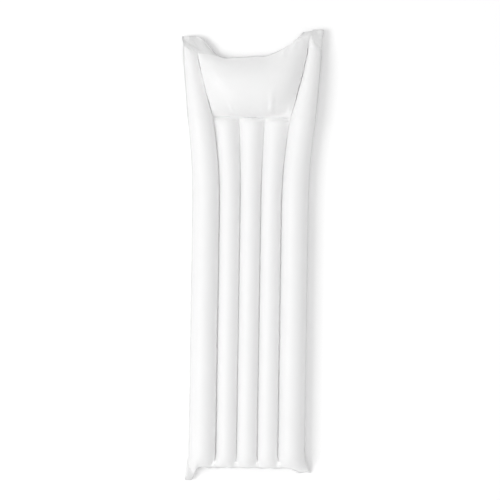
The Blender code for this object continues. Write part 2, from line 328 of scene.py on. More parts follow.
class Pattern:
    """Both films as a grid of rows and columns: flat, and in the form they start from."""

    def __init__(self, s):
        """Lays out the rows and columns from the film's settings."""
        self.s = s
        self.half_seam = s.seam / 2
        self.seam_line = (s.middle_tube + s.seam) * 1.5
        self.hem_out = s.hem * math.cos(s.hem_fold)
        self.hem_down = s.hem * math.sin(s.hem_fold)
        self.edge = self.seam_line + self.half_seam + s.side_tube + self.hem_out
        self.half_cells = s.cells_middle // 2
        self.first_seam = self.half_cells
        self.second_seam = self.first_seam + 1 + s.cells_middle
        self.hem_start = self.second_seam + 1 + s.cells_side
        self.columns = self.hem_start + 2
        self.foot_arc = s.foot_cap * FOOT_ARC_SHARE
        self.cross_arc = s.cross_cap + CROSS_ARC_EXCESS
        straight = s.tube_length - s.hem - s.foot_cap - s.cross_cap
        self.tube_flat = self.foot_arc + straight + self.cross_arc
        self.rows = self.lay_rows()
        dice = np.random.default_rng(11)
        self.waves = [
            (2 * math.pi / (0.050 + 0.022 * k), dice.uniform(0, 2 * math.pi, 2)) for k in range(4)
        ]

    def lay_rows(self):
        """(zone, flat distance in the zone) of each row: foot hem, tubes, pillow, head hem."""
        s = self.s
        at = [0.0]
        while at[-1] < self.tube_flat:
            inside = min(at[-1], self.tube_flat - at[-1])
            at.append(at[-1] + blend(s.fine_cell, s.long_cell, smooth_step((inside - 0.10) / 0.12)))
        scale = self.tube_flat / at[-1]
        rows = [("foot", s.hem * k / 2) for k in range(2)]
        rows += [("tubes", step * scale) for step in at]
        at = [0.0]
        while at[-1] < s.pillow_flat:
            at.append(at[-1] + blend(s.fine_cell, s.ear_cell, smooth_step((at[-1] - 0.22) / 0.05)))
        scale = s.pillow_flat / at[-1]
        rows += [("pillow", step * scale) for step in at]
        rows += [("head", s.hem * k / 2) for k in (1, 2)]
        return rows

    def along_tube(self, flat):
        """(crown's place, foot share, cross share) at a flat distance up the tubes."""
        s = self.s
        if flat < self.foot_arc:
            turn = flat / self.foot_arc * math.pi / 2
            return s.hem + s.foot_cap * (1 - math.cos(turn)), math.sin(turn), 1.0
        left = self.tube_flat - flat
        if left < self.cross_arc:
            turn = left / self.cross_arc * math.pi / 2
            return s.tube_length - s.cross_cap * (1 - math.cos(turn)), 1.0, math.sin(turn)
        return s.hem + s.foot_cap + flat - self.foot_arc, 1.0, 1.0

    def wave(self, end, x):
        """A gather's height, from -1 to 1, at a flat distance across; end is 0 or 1."""
        return sum(math.sin(step * x + phase[end]) for step, phase in self.waves) / 2.4

    def even_place(self, flat):
        """Where a weld lies at a flat distance up the tubes: it runs straight to both ends."""
        s = self.s
        left = self.tube_flat - flat
        if flat < self.foot_arc:
            return s.hem + s.foot_cap * flat / self.foot_arc
        if left < self.cross_arc:
            return s.tube_length - s.cross_cap * left / self.cross_arc
        return s.hem + s.foot_cap + flat - self.foot_arc

    def crown(self, column):
        """How near a column is to the middle of its tube: 0 at the welds and 1 at the crown."""
        s = self.s
        if column <= self.first_seam:
            return math.cos(math.pi / 2 * column / self.half_cells)
        if column <= self.second_seam:
            return math.sin(math.pi * (column - self.first_seam - 1) / s.cells_middle)
        return max(0.0, math.sin(math.pi * min(1.0, (column - self.second_seam - 1) / s.cells_side)))

    def tube_row(self, zone, flat, side):
        """A row across one half of the tubes: [(x, y, top, bottom)] and its flat [(x, y)]."""
        s = self.s
        fold = 0.0
        if zone == "foot":
            y, share, cross, even, done = flat, 0.0, 1.0, flat, (0.0, 0.0)
            fold = 1 - flat / s.hem
        else:
            y, share, cross = self.along_tube(flat)
            even = self.even_place(flat)
            left = self.tube_flat - flat
            done = (min(1.0, flat / self.foot_arc), max(0.0, 1 - left / self.cross_arc))
        near_pillow = max(0.0, 1 - (s.tube_length - y) / s.cross_spread_length) ** 2
        near_foot = max(0.0, 1 - y / s.foot_spread_length) ** 2
        first, rise = FOOT_CORNER[side]
        edge_spread, reach, hang = s.foot_right_spread, s.foot_ear_right, s.right_foot_fall
        if side < 0:
            edge_spread, reach, hang = s.foot_left_spread, s.foot_ear_left, s.foot_ear_fall
        seam_line = self.seam_line + s.cross_seam_spread * near_pillow + s.foot_seam_spread * near_foot
        edge = self.edge + s.cross_edge_spread * near_pillow + edge_spread * near_foot
        pitch = seam_line * 2 / 3
        half_tube = pitch / 2 - self.half_seam
        top = share * cross
        points = arc_points(-half_tube, half_tube, s.middle_flat, s.cells_middle, top)
        points = points[self.half_cells :]
        points += arc_points(pitch - half_tube, pitch + half_tube, s.middle_flat, s.cells_middle, top)
        inner, outer = seam_line + self.half_seam, edge - self.hem_out
        points += arc_points(inner, outer, s.side_flat, s.cells_side, share)
        points += [(edge - self.hem_out / 2, 0.0), (edge, 0.0)]
        if zone == "tubes" and 0 < y - s.hem < s.passage:
            lift = points[0][1] * PASSAGE_OPENING
            for k in (self.first_seam, self.first_seam + 1, self.second_seam, self.second_seam + 1):
                points[k] = (points[k][0], lift)
        seam_flat = s.middle_flat * 1.5 + s.seam * 1.5
        cut = self.flat_row(seam_flat, s.side_flat, even, done)
        lift = s.pillow_lift * smooth_step((y - s.tube_length) / s.pillow_lift_length + 1)
        start = []
        for column, ((x, height), (flat_x, _)) in enumerate(zip(points, cut)):
            corner = smooth_step((x / edge - first) / rise)
            drop = reach * near_foot * corner
            longer = max(0.0, reach - s.foot_ear_right)
            cut[column] = (flat_x, cut[column][1] - longer * near_foot * corner)
            mid = s.plane + lift - hang * near_foot * near_foot * corner
            mid += s.crinkle * self.wave(0, side * flat_x) * max(0.0, 1 - y / FOOT_GATHERS) ** 2
            mid -= self.hem_down * max(fold * (1 - 0.7 * corner), max(0, column - self.hem_start) / 2)
            crown = self.crown(column)
            if column > self.second_seam and y > 0.5:
                crown = 0.0
            place = blend(even, y, crown) - drop + fold * (s.hem - self.hem_out) * (1 - corner)
            start.append((side * x, place, mid + height, mid - height))
        return start, cut

    def foot_ear(self, column):
        """Flat distance from the foot hem over which a column of the left corner holds no air."""
        share = (column - self.second_seam - 1) / self.s.cells_side
        return self.s.foot_ear_dry * smooth_step((share - 0.55) / 0.45)

    def ear_start(self, column, side):
        """Flat distance from the head hem below which a column holds no air."""
        s = self.s
        out = min(1.0, max(0.0, (column - self.second_seam - 1) / s.cells_side))
        if side > 0:
            if column > self.second_seam:
                return blend(s.right_ear_seam, s.right_ear_hem, out)
            return s.right_ear_seam * smooth_step((column / self.second_seam - 0.55) / 0.45)
        if column > self.second_seam:
            return blend(s.left_ear_seam, s.left_ear_hem, out)
        return s.left_ear_seam * smooth_step((column / self.second_seam - 0.38) / 0.5)

    def pillow_row(self, zone, flat, side):
        """A row across one half of the pillow, or of the hem at its head."""
        s = self.s
        past = flat if zone == "head" else 0.0
        share = 1.0 if zone == "head" else flat / s.pillow_flat
        bulge = max(0.02, math.sin(math.pi * share))
        slow = (1 - math.cos(math.pi * share)) / 2
        y = s.tube_length + s.seam + (s.pillow_length - s.seam - self.hem_out) * slow
        y_side = s.tube_length + s.seam + (s.ear_length - s.seam - s.hem) * share
        along = (y_side - s.tube_length) / s.ear_length
        seam_line = self.seam_line + blend(s.cross_seam_spread, s.head_seam_spread, along)
        edge = self.edge + blend(s.cross_edge_spread, s.head_edge_spread, along)
        side_flat = blend(s.side_flat, s.head_side_flat, along)
        inside = seam_line - self.half_seam
        overhang = s.pillow_overhang * bulge**0.4 * (1 - smooth_step((share - 0.7) / 0.2))
        upper = pillow_points(inside, s.pillow_rise * bulge, overhang, self.second_seam)
        lower = pillow_points(inside, s.pillow_depth * bulge, overhang, self.second_seam)
        ends = [1 - self.ear_start(k, side) / s.pillow_flat for k in range(self.columns + 1)]
        full = math.sqrt(max(0.0, 1 - (share / max(ends[self.second_seam + 1 :])) ** 4))
        shape = [(x, top / bulge, bottom / bulge) for (x, top), (_, bottom) in zip(upper, lower)]
        inner, outer = seam_line + self.half_seam, edge - self.hem_out
        panel = arc_points(inner, outer, side_flat, s.cells_side, full)
        shape += [(x, height, height) for x, height in panel]
        shape += [(edge - self.hem_out / 2, 0.0, 0.0), (edge, 0.0, 0.0)]
        seam_flat = blend(s.middle_flat * 1.5 + s.seam * 1.5, s.head_seam_flat, along**0.85)
        cut = self.flat_row(seam_flat, side_flat, s.tube_length + s.seam + past, (1.0, 1.0))
        middle = -s.notch_shift * along
        start = []
        for column, (x, top, bottom) in enumerate(shape):
            across = side * x
            reach = seam_line - middle if across > middle else seam_line + middle
            curve = smooth_step((abs(across - middle) / reach - 0.3) / 0.7)
            dry = self.ear_start(column, side)
            left = s.pillow_flat * (1 - share)
            if column <= self.second_seam:
                own = math.sin(math.pi * min(1.0, share / ends[column]))
            else:
                own = math.sqrt(max(0.0, 1 - (share / ends[column]) ** 4)) / max(full, 1e-6)
            top, bottom = top * own, bottom * own
            mid = s.plane + s.pillow_lift
            drop = s.ear_drop * (1.0 if side < 0 else RIGHT_EAR_DROP)
            mid -= drop * smooth_step((dry - left + past) / (dry + s.hem)) * min(1.0, dry / FULL_HANG)
            near = max(0.0, 1 - left / HEAD_GATHERS) ** 2
            mid += s.crinkle * 1.2 * self.wave(1, side * cut[column][0]) * near
            flat_end = 1 - smooth_step(dry / FLAT_HEM)
            fold = past / s.hem * flat_end
            unfolded = EAR_UNFOLD * smooth_step((dry - left) / FLAT_HEM + 1)
            side_fold = max(0, column - self.hem_start) / 2 * (1 - unfolded)
            mid -= self.hem_down * max(fold, side_fold)
            place = blend(y, y_side, curve) + past * blend(1.0, self.hem_out / s.hem, flat_end)
            lean = max(-1.0, min(1.0, (across + SLANT_LINE) / SLANT_WIDTH))
            place += s.ear_skew / 2 * lean * smooth_step(along)
            start.append((across, place, mid + top, mid - bottom))
            u = min(1.0, column / self.second_seam)
            long = blend(s.pillow_flat, s.ear_side_flat, smooth_step((u - 0.75) / 0.25))
            cut[column] = (cut[column][0], cut[column][1] + long * share)
        return start, cut

    def flat_row(self, seam_line, side_flat, even, done):
        """Flat (x, y) of a row's half: crowns take all of the film's slack and welds a share."""
        s = self.s
        foot = (self.foot_arc - s.foot_cap) * done[0]
        cross = (self.cross_arc - s.cross_cap) * done[1]
        pitch = seam_line * 2 / 3
        seams = seam_line + self.half_seam
        middle, next_seam = pitch / 2, seam_line - self.half_seam
        panels = [
            (0.0, middle - self.half_seam, self.half_cells, 0.5, s.gather, s.gather, 1.0),
            (middle + self.half_seam, next_seam, s.cells_middle, 0.0, s.gather, 0.0, 1.0),
            (seams, seams + side_flat, s.cells_side, 0.0, 0.0, 0.0, 0.0),
        ]
        row = []
        for start, end, cells, first, near, far, most in panels:
            for k in range(cells + 1):
                t = k / cells
                crown = math.sin(math.pi * (first + (1 - first) * t))
                slack = foot * blend(s.gather, 1.0, crown) + cross * blend(blend(near, far, t), most, crown)
                row.append((blend(start, end, t), even + slack))
        last = row[-1]
        for k in (1, 2):
            row.append((last[0] + s.hem * k / 2, last[1]))
        return row

    def welded(self, row, column, side):
        """Whether the two films are one at this row and half column."""
        s = self.s
        zone, flat = self.rows[row]
        if column >= self.hem_start or zone in ("foot", "head"):
            return True
        if zone == "tubes":
            if flat == 0.0:
                return True
            y = self.along_tube(flat)[0]
            if self.tube_flat - flat < 1e-6 and column <= self.second_seam + 1:
                return True
            if side < 0 and flat < self.foot_ear(column):
                return True
            if y - s.hem < s.passage:
                return False
            seams = (self.first_seam, self.first_seam + 1, self.second_seam, self.second_seam + 1)
            return column in seams
        if s.pillow_flat - flat < 1e-6 + self.ear_start(column, side):
            return True
        if flat == 0.0 and column <= self.second_seam + 1:
            return True
        return column in (self.second_seam, self.second_seam + 1)

    def pressed(self, row, column, side):
        """How much the film shows its weld: 1 where pressed, with a soft edge where an ear starts."""
        zone, flat = self.rows[row]
        welded = self.welded(row, column, side)
        if zone != "pillow" or column >= self.hem_start:
            return 1.0 if welded else 0.0
        dry = self.ear_start(column, side)
        past = dry - self.s.pillow_flat + flat
        ear = smooth_step(past / EAR_EDGE + 0.5) if dry > LEAST_EAR else 0.0
        seam = flat == 0.0 or column in (self.second_seam, self.second_seam + 1)
        return max(ear, 1.0 if seam and welded else 0.0)

    def doubled(self, row, column, side):
        """How much darker the doubled film is: full at the seams and ears, less at the side hems."""
        zone, _ = self.rows[row]
        if zone == "tubes" and column >= self.hem_start:
            return SIDE_HEM_DOUBLED
        return self.pressed(row, column, side)

    def at_border(self, row, offset):
        """Whether a point lies where an ear's film without air begins; offset is from the middle."""
        zone, flat = self.rows[row]
        if zone != "pillow":
            return False
        dry = self.ear_start(abs(offset), 1 if offset > 0 else -1)
        return dry > LEAST_EAR and abs(self.s.pillow_flat - flat - dry) < EAR_EDGE

    def pinned(self, row, column):
        """How firmly a weld keeps its place while the film is blown up."""
        zone, flat = self.rows[row]
        if zone == "foot":
            return 0.0
        if zone == "tubes":
            y = self.along_tube(flat)[0]
            firm = smooth_step((y - 0.03) / 0.06)
            return firm * blend(0.5, 1.0, smooth_step((self.s.tube_length - y) / 0.05))
        share = 1.0 if zone == "head" else flat / self.s.pillow_flat
        if column >= self.second_seam:
            return 0.5 * blend(1.0, 0.3, smooth_step((share - 0.6) / 0.3))
        if zone == "pillow" and flat == 0.0:
            return 0.5
        if share > 0.99:
            return 0.5 * (1 - smooth_step((column / self.second_seam - 0.3) / 0.3))
        return 0.0


def film_grid(pattern):
    """Arrays over the whole grid: start points of top and bottom, flat points, welds, pins, marks."""
    n = pattern.columns
    rows = len(pattern.rows)
    width = 2 * n + 1
    top = np.zeros((rows, width, 3))
    bottom = np.zeros((rows, width, 3))
    flat = np.zeros((rows, width, 2))
    weld = np.zeros((rows, width), bool)
    pin = np.zeros((rows, width))
    marks = np.zeros((rows, width, 2))
    for row, (zone, distance) in enumerate(pattern.rows):
        lay = pattern.tube_row if zone in ("foot", "tubes") else pattern.pillow_row
        for side in (-1, 1):
            start, cut = lay(zone, distance, side)
            for column in range(n + 1):
                x, y, high, low = start[column]
                at = n + side * column
                y -= pattern.s.outline_middle
                top[row, at] = (x, y, high)
                bottom[row, at] = (x, y, max(0.0, low))
                flat[row, at] = (side * cut[column][0], cut[column][1])
                weld[row, at] = pattern.welded(row, column, side)
                pin[row, at] = pattern.pinned(row, column) if weld[row, at] else 0.0
                marks[row, at] = (pattern.pressed(row, column, side), pattern.doubled(row, column, side))
    middle = (top[..., 2] + bottom[..., 2]) / 2
    for layer in (top, bottom):
        layer[..., 2] = np.where(weld, middle, layer[..., 2])
    return top, bottom, flat, weld, pin, marks


def film_mesh(weld):
    """A mesh of both films joined at their welds, and each vertex's row, column and film."""
    rows, width = weld.shape
    bm = bmesh.new()
    layer_of = bm.faces.layers.int.new("film")
    row_of = bm.verts.layers.int.new("row")
    column_of = bm.verts.layers.int.new("column")
    below = bm.verts.layers.int.new("below")
    bmesh.ops.create_grid(bm, x_segments=width - 1, y_segments=rows - 1, size=1.0)
    for vert in bm.verts:
        vert[column_of] = round((vert.co.x + 1) / 2 * (width - 1))
        vert[row_of] = round((vert.co.y + 1) / 2 * (rows - 1))
    doubled = bmesh.ops.duplicate(bm, geom=list(bm.verts) + list(bm.edges) + list(bm.faces))
    lower_faces = [item for item in doubled["geom"] if isinstance(item, bmesh.types.BMFace)]
    bmesh.ops.reverse_faces(bm, faces=lower_faces)
    for face in lower_faces:
        face[layer_of] = 1
        for vert in face.verts:
            vert[below] = 1
    upper = {}
    targets = {}
    for vert in bm.verts:
        key = (vert[row_of], vert[column_of])
        if not vert[below]:
            upper[key] = vert
    for vert in bm.verts:
        key = (vert[row_of], vert[column_of])
        if vert[below] and weld[key]:
            targets[vert] = upper[key]
    spare = [face for face in lower_faces if all(vert in targets for vert in face.verts)]
    bmesh.ops.delete(bm, geom=spare, context="FACES_ONLY")
    bmesh.ops.weld_verts(bm, targetmap=targets)
    for face in bm.faces:
        if all(weld[vert[row_of], vert[column_of]] for vert in face.verts):
            face[layer_of] = 2
    bm.verts.index_update()
    where = np.array([(vert[row_of], vert[column_of], vert[below]) for vert in bm.verts])
    mesh = bpy.data.meshes.new("film")
    bm.to_mesh(mesh)
    bm.free()
    return mesh, where


def inflate(s, mesh, start, rest, welded, pins):
    """Runs the cloth with pressure from the start form and returns where its points end."""
    body = bpy.data.objects.new("film_cloth", mesh)
    bpy.context.scene.collection.objects.link(body)
    mesh.vertices.foreach_set("co", start.astype(np.float32).ravel())
    body.shape_key_add(name="Basis")
    key = body.shape_key_add(name="Flat")
    key.data.foreach_set("co", rest.astype(np.float32).ravel())
    key.value = 0.0
    blown = body.vertex_groups.new(name="blown")
    blown.add([int(k) for k in np.flatnonzero(~welded)], 1.0, "REPLACE")
    held = body.vertex_groups.new(name="held")
    for k in np.flatnonzero(pins > 0.0):
        held.add([int(k)], float(pins[k]), "REPLACE")
    cloth = body.modifiers.new("Cloth", "CLOTH")
    settings = cloth.settings
    settings.quality = 8
    settings.mass = 0.05
    settings.tension_stiffness = 80.0
    settings.compression_stiffness = 80.0
    settings.shear_stiffness = 20.0
    settings.bending_stiffness = 0.5
    settings.tension_damping = 5.0
    settings.compression_damping = 5.0
    settings.shear_damping = 5.0
    settings.use_pressure = True
    settings.uniform_pressure_force = s.pressure
    settings.vertex_group_pressure = "blown"
    settings.vertex_group_mass = "held"
    settings.pin_stiffness = 1.0
    settings.rest_shape_key = key
    settings.effector_weights.gravity = 0.0
    cloth.collision_settings.use_collision = False
    cloth.collision_settings.use_self_collision = False
    cloth.point_cache.frame_start = 1
    cloth.point_cache.frame_end = s.frames
    scene = bpy.context.scene
    for step in range(1, s.frames + 1):
        scene.frame_set(step)
    graph = bpy.context.evaluated_depsgraph_get()
    ended = np.zeros(len(mesh.vertices) * 3, np.float32)
    body.evaluated_get(graph).data.vertices.foreach_get("co", ended)
    scene.frame_set(1)
    bpy.data.objects.remove(body)
    moved = ended.reshape(-1, 3).astype(float) - start
    far = np.linalg.norm(moved, axis=1, keepdims=True)
    kept = start + moved * np.minimum(1.0, s.most_move / np.maximum(far, 1e-9))
    print("film moved: half", np.median(far).round(4), "most", far.max().round(4))
    kept[:, 2] = np.maximum(kept[:, 2], 0.0)
    return kept


def settle(mesh, places, chosen):
    """Evens out the film where the inflated part of an ear ends, so that no steps are left."""
    bm = bmesh.new()
    bm.from_mesh(mesh)
    bm.verts.ensure_lookup_table()
    for vert in bm.verts:
        vert.co = places[vert.index]
    picked = [vert for vert, near in zip(bm.verts, chosen) if near]
    for _ in range(4):
        bmesh.ops.smooth_vert(
            bm, verts=picked, factor=0.5, use_axis_x=True, use_axis_y=True, use_axis_z=True
        )
    evened = np.array([tuple(vert.co) for vert in bm.verts])
    bm.free()
    return evened


def pleated(places, chosen):
    """Raises small pleats in the top film where the welds gather it."""
    out = places.copy()
    for x, y, turn, long, wide, high in PLEATS:
        ahead = np.array([math.sin(math.radians(turn)), math.cos(math.radians(turn))])
        off = places[:, :2] - (x, y)
        along = off @ ahead / long
        across = (off @ (ahead[1], -ahead[0])) / wide
        rise = np.clip(along / 0.25, 0.0, 1.0) * np.clip((1.0 - along) / 0.6, 0.0, 1.0)
        ridge = np.maximum((1 - 2 * across**2) * np.exp(-(across**2)), -0.2)
        out[:, 2] += np.where(chosen, high * rise * ridge, 0.0)
    return out


class MATTRESS_OT_film(bpy.types.Operator):
    """Makes the top and bottom films, blown up"""

    bl_idname = "mattress.film"
    bl_label = "Make the film"

    def execute(self, context):
        """Cuts, inflates and splits the film."""
        s = context.scene.mattress_film
        pattern = Pattern(s)
        top, bottom, flat, weld, pin, marks = film_grid(pattern)
        mesh, where = film_mesh(weld)
        rows, columns, below = where.T
        start = np.where(below[:, None] == 1, bottom[rows, columns], top[rows, columns])
        welded = weld[rows, columns]
        noise = np.random.default_rng(7).standard_normal(len(start)) * s.noise
        start[:, 2] += np.where(welded, 0.0, noise)
        rest = np.column_stack([flat[rows, columns], np.zeros(len(rows))])
        ended = inflate(s, mesh, start, rest, welded, pin[rows, columns])
        offsets = columns - pattern.columns
        borders = [pattern.at_border(row, offset) for row, offset in zip(rows, offsets)]
        ended = settle(mesh, ended, borders)
        ended = pleated(ended, (below == 0) & ~welded)
        split_film(context, mesh, ended, rest, welded, marks[rows, columns])
        return {"FINISHED"}


def fill_ring(bm, outer, inner, centre):
    """Faces that look down between two rings of vertices, each sorted by its angle round the centre."""
    full = 2 * math.pi

    def angles(ring):
        """The ring's angles, with the first one again a full turn on."""
        found = [math.atan2(v.co.y - centre[1], v.co.x - centre[0]) for v in ring]
        return found + [found[0] + full]

    outer_turn, inner_turn = angles(outer), angles(inner)
    i = j = 0
    while i < len(outer) or j < len(inner):
        a, b = outer[i % len(outer)], inner[j % len(inner)]
        if j == len(inner) or (i < len(outer) and outer_turn[i + 1] <= inner_turn[j + 1]):
            i += 1
            bm.faces.new((outer[i % len(outer)], a, b))
        else:
            j += 1
            bm.faces.new((a, b, inner[j % len(inner)]))


def cut_hole(bm, flat_layer, weld_layer, centre, radii, weld_radius):
    """Opens a round hole in flat film, with rings of even points round it."""
    cx, cy = centre
    reach = radii[-1] + RING_REACH
    near = [v for v in bm.verts if math.hypot(v.co.x - cx, v.co.y - cy) < reach]
    spare = {face for vert in near for face in vert.link_faces}
    around = {vert for face in spare for vert in face.verts}
    points = np.array([(v.co.x - cx, v.co.y - cy, 1.0) for v in around])
    values = np.array([tuple(v[flat_layer])[:2] for v in around])
    fit = np.linalg.lstsq(points, values, rcond=None)[0]
    bmesh.ops.delete(bm, geom=list(spare), context="FACES")
    left = [v for v in around if v.is_valid]
    outer = sorted(left, key=lambda v: math.atan2(v.co.y - cy, v.co.x - cx))
    height = min(v.co.z for v in outer)
    for radius in reversed(radii):
        inner = []
        for turn in np.linspace(-math.pi, math.pi, RING_STEPS, endpoint=False):
            x, y = radius * math.cos(turn), radius * math.sin(turn)
            vert = bm.verts.new((cx + x, cy + y, height))
            flat = np.array([x, y, 1.0]) @ fit
            vert[flat_layer] = (flat[0], flat[1], 0.0)
            vert[weld_layer] = 1.0 if radius < weld_radius else 0.0
            inner.append(vert)
        fill_ring(bm, outer, inner, centre)
        outer = inner


def close_hem(bm, depth):
    """Gives the open outer edge of the top film the thickness of both films."""
    rim = [edge for edge in bm.edges if edge.is_boundary]
    made = bmesh.ops.extrude_edge_only(bm, edges=rim)["geom"]
    for vert in made:
        if isinstance(vert, bmesh.types.BMVert):
            vert.co.z -= depth


def split_film(context, mesh, places, rest, welded, marks):
    """Two pieces from the double film, each with the welds and its flat pattern as UVs."""
    s = context.scene.mattress_film
    valve = context.scene.mattress_valve
    for name, keep, node in (("top_film", 0, "top_sheet"), ("bottom_film", 1, "bottom_sheet")):
        bm = bmesh.new()
        bm.from_mesh(mesh)
        layer = bm.faces.layers.int["film"]
        flat_layer = bm.verts.layers.float_vector.new("pattern")
        weld_layer = bm.verts.layers.float.new("weld")
        doubled_layer = bm.verts.layers.float.new("doubled")
        flat_uv = bm.loops.layers.uv.new("flat")
        bm.verts.ensure_lookup_table()
        for vert in bm.verts:
            vert.co = places[vert.index]
            vert[weld_layer], vert[doubled_layer] = marks[vert.index]
            vert[flat_layer] = rest[vert.index]
            if welded[vert.index]:
                vert.co.z += HALF_FILM if keep == 0 else -HALF_FILM
        drop = [face for face in bm.faces if face[layer] == 1 - keep]
        bmesh.ops.delete(bm, geom=drop, context="FACES")
        if keep == 1:
            single = [face for face in bm.faces if face[layer] == 2]
            bmesh.ops.reverse_faces(bm, faces=single)
            ring = [valve.recess, valve.flange, valve.flange + RING_MARGIN]
            for centre in (valve.body_place, valve.pillow_place):
                cut_hole(bm, flat_layer, weld_layer, centre, ring, ring[2])
        else:
            close_hem(bm, 2 * HALF_FILM)
        for face in bm.faces:
            face.smooth = True
            for loop in face.loops:
                loop[flat_uv].uv = loop.vert[flat_layer][:2]
        made = bpy.data.meshes.new(name)
        bm.to_mesh(made)
        bm.free()
        piece = bpy.data.objects.new(name, made)
        bpy.context.scene.collection.objects.link(piece)
        finer = piece.modifiers.new("Finer", "SUBSURF")
        finer.levels = 1
        finer.render_levels = 1
        finer.boundary_smooth = "PRESERVE_CORNERS"
        made.materials.append(film_material(s))
        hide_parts(node)
        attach(piece, "mattress")
    bpy.data.meshes.remove(mesh)


def socket(tree, name, kind, default=None, output=False):
    """Adds a named socket to a node group."""
    made = tree.interface.new_socket(name=name, in_out="OUTPUT" if output else "INPUT", socket_type=kind)
    if default is not None:
        made.default_value = default
    return made


def math_node(tree, operation, a, b=None, c=None):
    """A Math node on sockets or numbers, and its output."""
    node = tree.nodes.new("ShaderNodeMath")
    node.operation = operation
    for slot, value in zip(node.inputs, (a, b, c)):
        if value is None:
            continue
        if isinstance(value, (int, float)):
            slot.default_value = value
        else:
            tree.links.new(value, slot)
    return node.outputs[0]


def noise_node(tree, vector, scale, detail=2.0, roughness=0.5):
    """A noise texture's factor on a vector."""
    node = tree.nodes.new("ShaderNodeTexNoise")
    node.inputs["Detail"].default_value = detail
    node.inputs["Roughness"].default_value = roughness
    if isinstance(scale, (int, float)):
        node.inputs["Scale"].default_value = scale
    else:
        tree.links.new(scale, node.inputs["Scale"])
    tree.links.new(vector, node.inputs["Vector"])
    return node.outputs["Fac"]


def vinyl_group():
    """Node group: the fine grain, dull patches and dust that all the PVC here shares."""
    name = "vinyl_surface"
    if name in bpy.data.node_groups:
        return bpy.data.node_groups[name]
    tree = bpy.data.node_groups.new(name, "ShaderNodeTree")
    socket(tree, "Vector", "NodeSocketVector")
    socket(tree, "Colour", "NodeSocketColor", (0.86, 0.86, 0.86, 1.0))
    socket(tree, "Grain scale", "NodeSocketFloat", 900.0)
    socket(tree, "Roughness", "NodeSocketFloat", 0.4)
    socket(tree, "Roughness spread", "NodeSocketFloat", 0.1)
    socket(tree, "Dust", "NodeSocketFloat", 0.02)
    socket(tree, "Colour", "NodeSocketColor", output=True)
    socket(tree, "Roughness", "NodeSocketFloat", output=True)
    socket(tree, "Height", "NodeSocketFloat", output=True)
    start = tree.nodes.new("NodeGroupInput")
    end = tree.nodes.new("NodeGroupOutput")
    vector = start.outputs["Vector"]
    grain = noise_node(tree, vector, start.outputs["Grain scale"], 3.0, 0.6)
    patches = noise_node(tree, vector, 14.0, 3.0, 0.55)
    specks = noise_node(tree, vector, 420.0, 1.0, 0.5)
    cloud = noise_node(tree, vector, 3.5, 2.0, 0.5)
    speck_mask = math_node(tree, "SMOOTH_MIN", 1.0, math_node(tree, "MULTIPLY_ADD", specks, 9.0, -6.2), 0.1)
    speck_mask = math_node(tree, "MAXIMUM", speck_mask, 0.0)
    dirt = math_node(tree, "MULTIPLY_ADD", cloud, 1.6, -0.4)
    dirt = math_node(tree, "MULTIPLY", dirt, start.outputs["Dust"])
    dirt = math_node(tree, "MULTIPLY_ADD", speck_mask, 0.05, dirt)
    dirt = math_node(tree, "MAXIMUM", dirt, 0.0)
    shade = tree.nodes.new("ShaderNodeMix")
    shade.data_type = "RGBA"
    shade.inputs["B"].default_value = (0.55, 0.53, 0.50, 1.0)
    tree.links.new(dirt, shade.inputs["Factor"])
    tree.links.new(start.outputs["Colour"], shade.inputs["A"])
    tree.links.new(shade.outputs["Result"], end.inputs["Colour"])
    spread = math_node(tree, "SUBTRACT", patches, 0.5)
    spread = math_node(tree, "MULTIPLY", spread, start.outputs["Roughness spread"])
    spread = math_node(tree, "MULTIPLY", spread, 2.0)
    rough = math_node(tree, "ADD", start.outputs["Roughness"], spread)
    tree.links.new(rough, end.inputs["Roughness"])
    tree.links.new(math_node(tree, "SUBTRACT", grain, 0.5), end.inputs["Height"])
    return tree


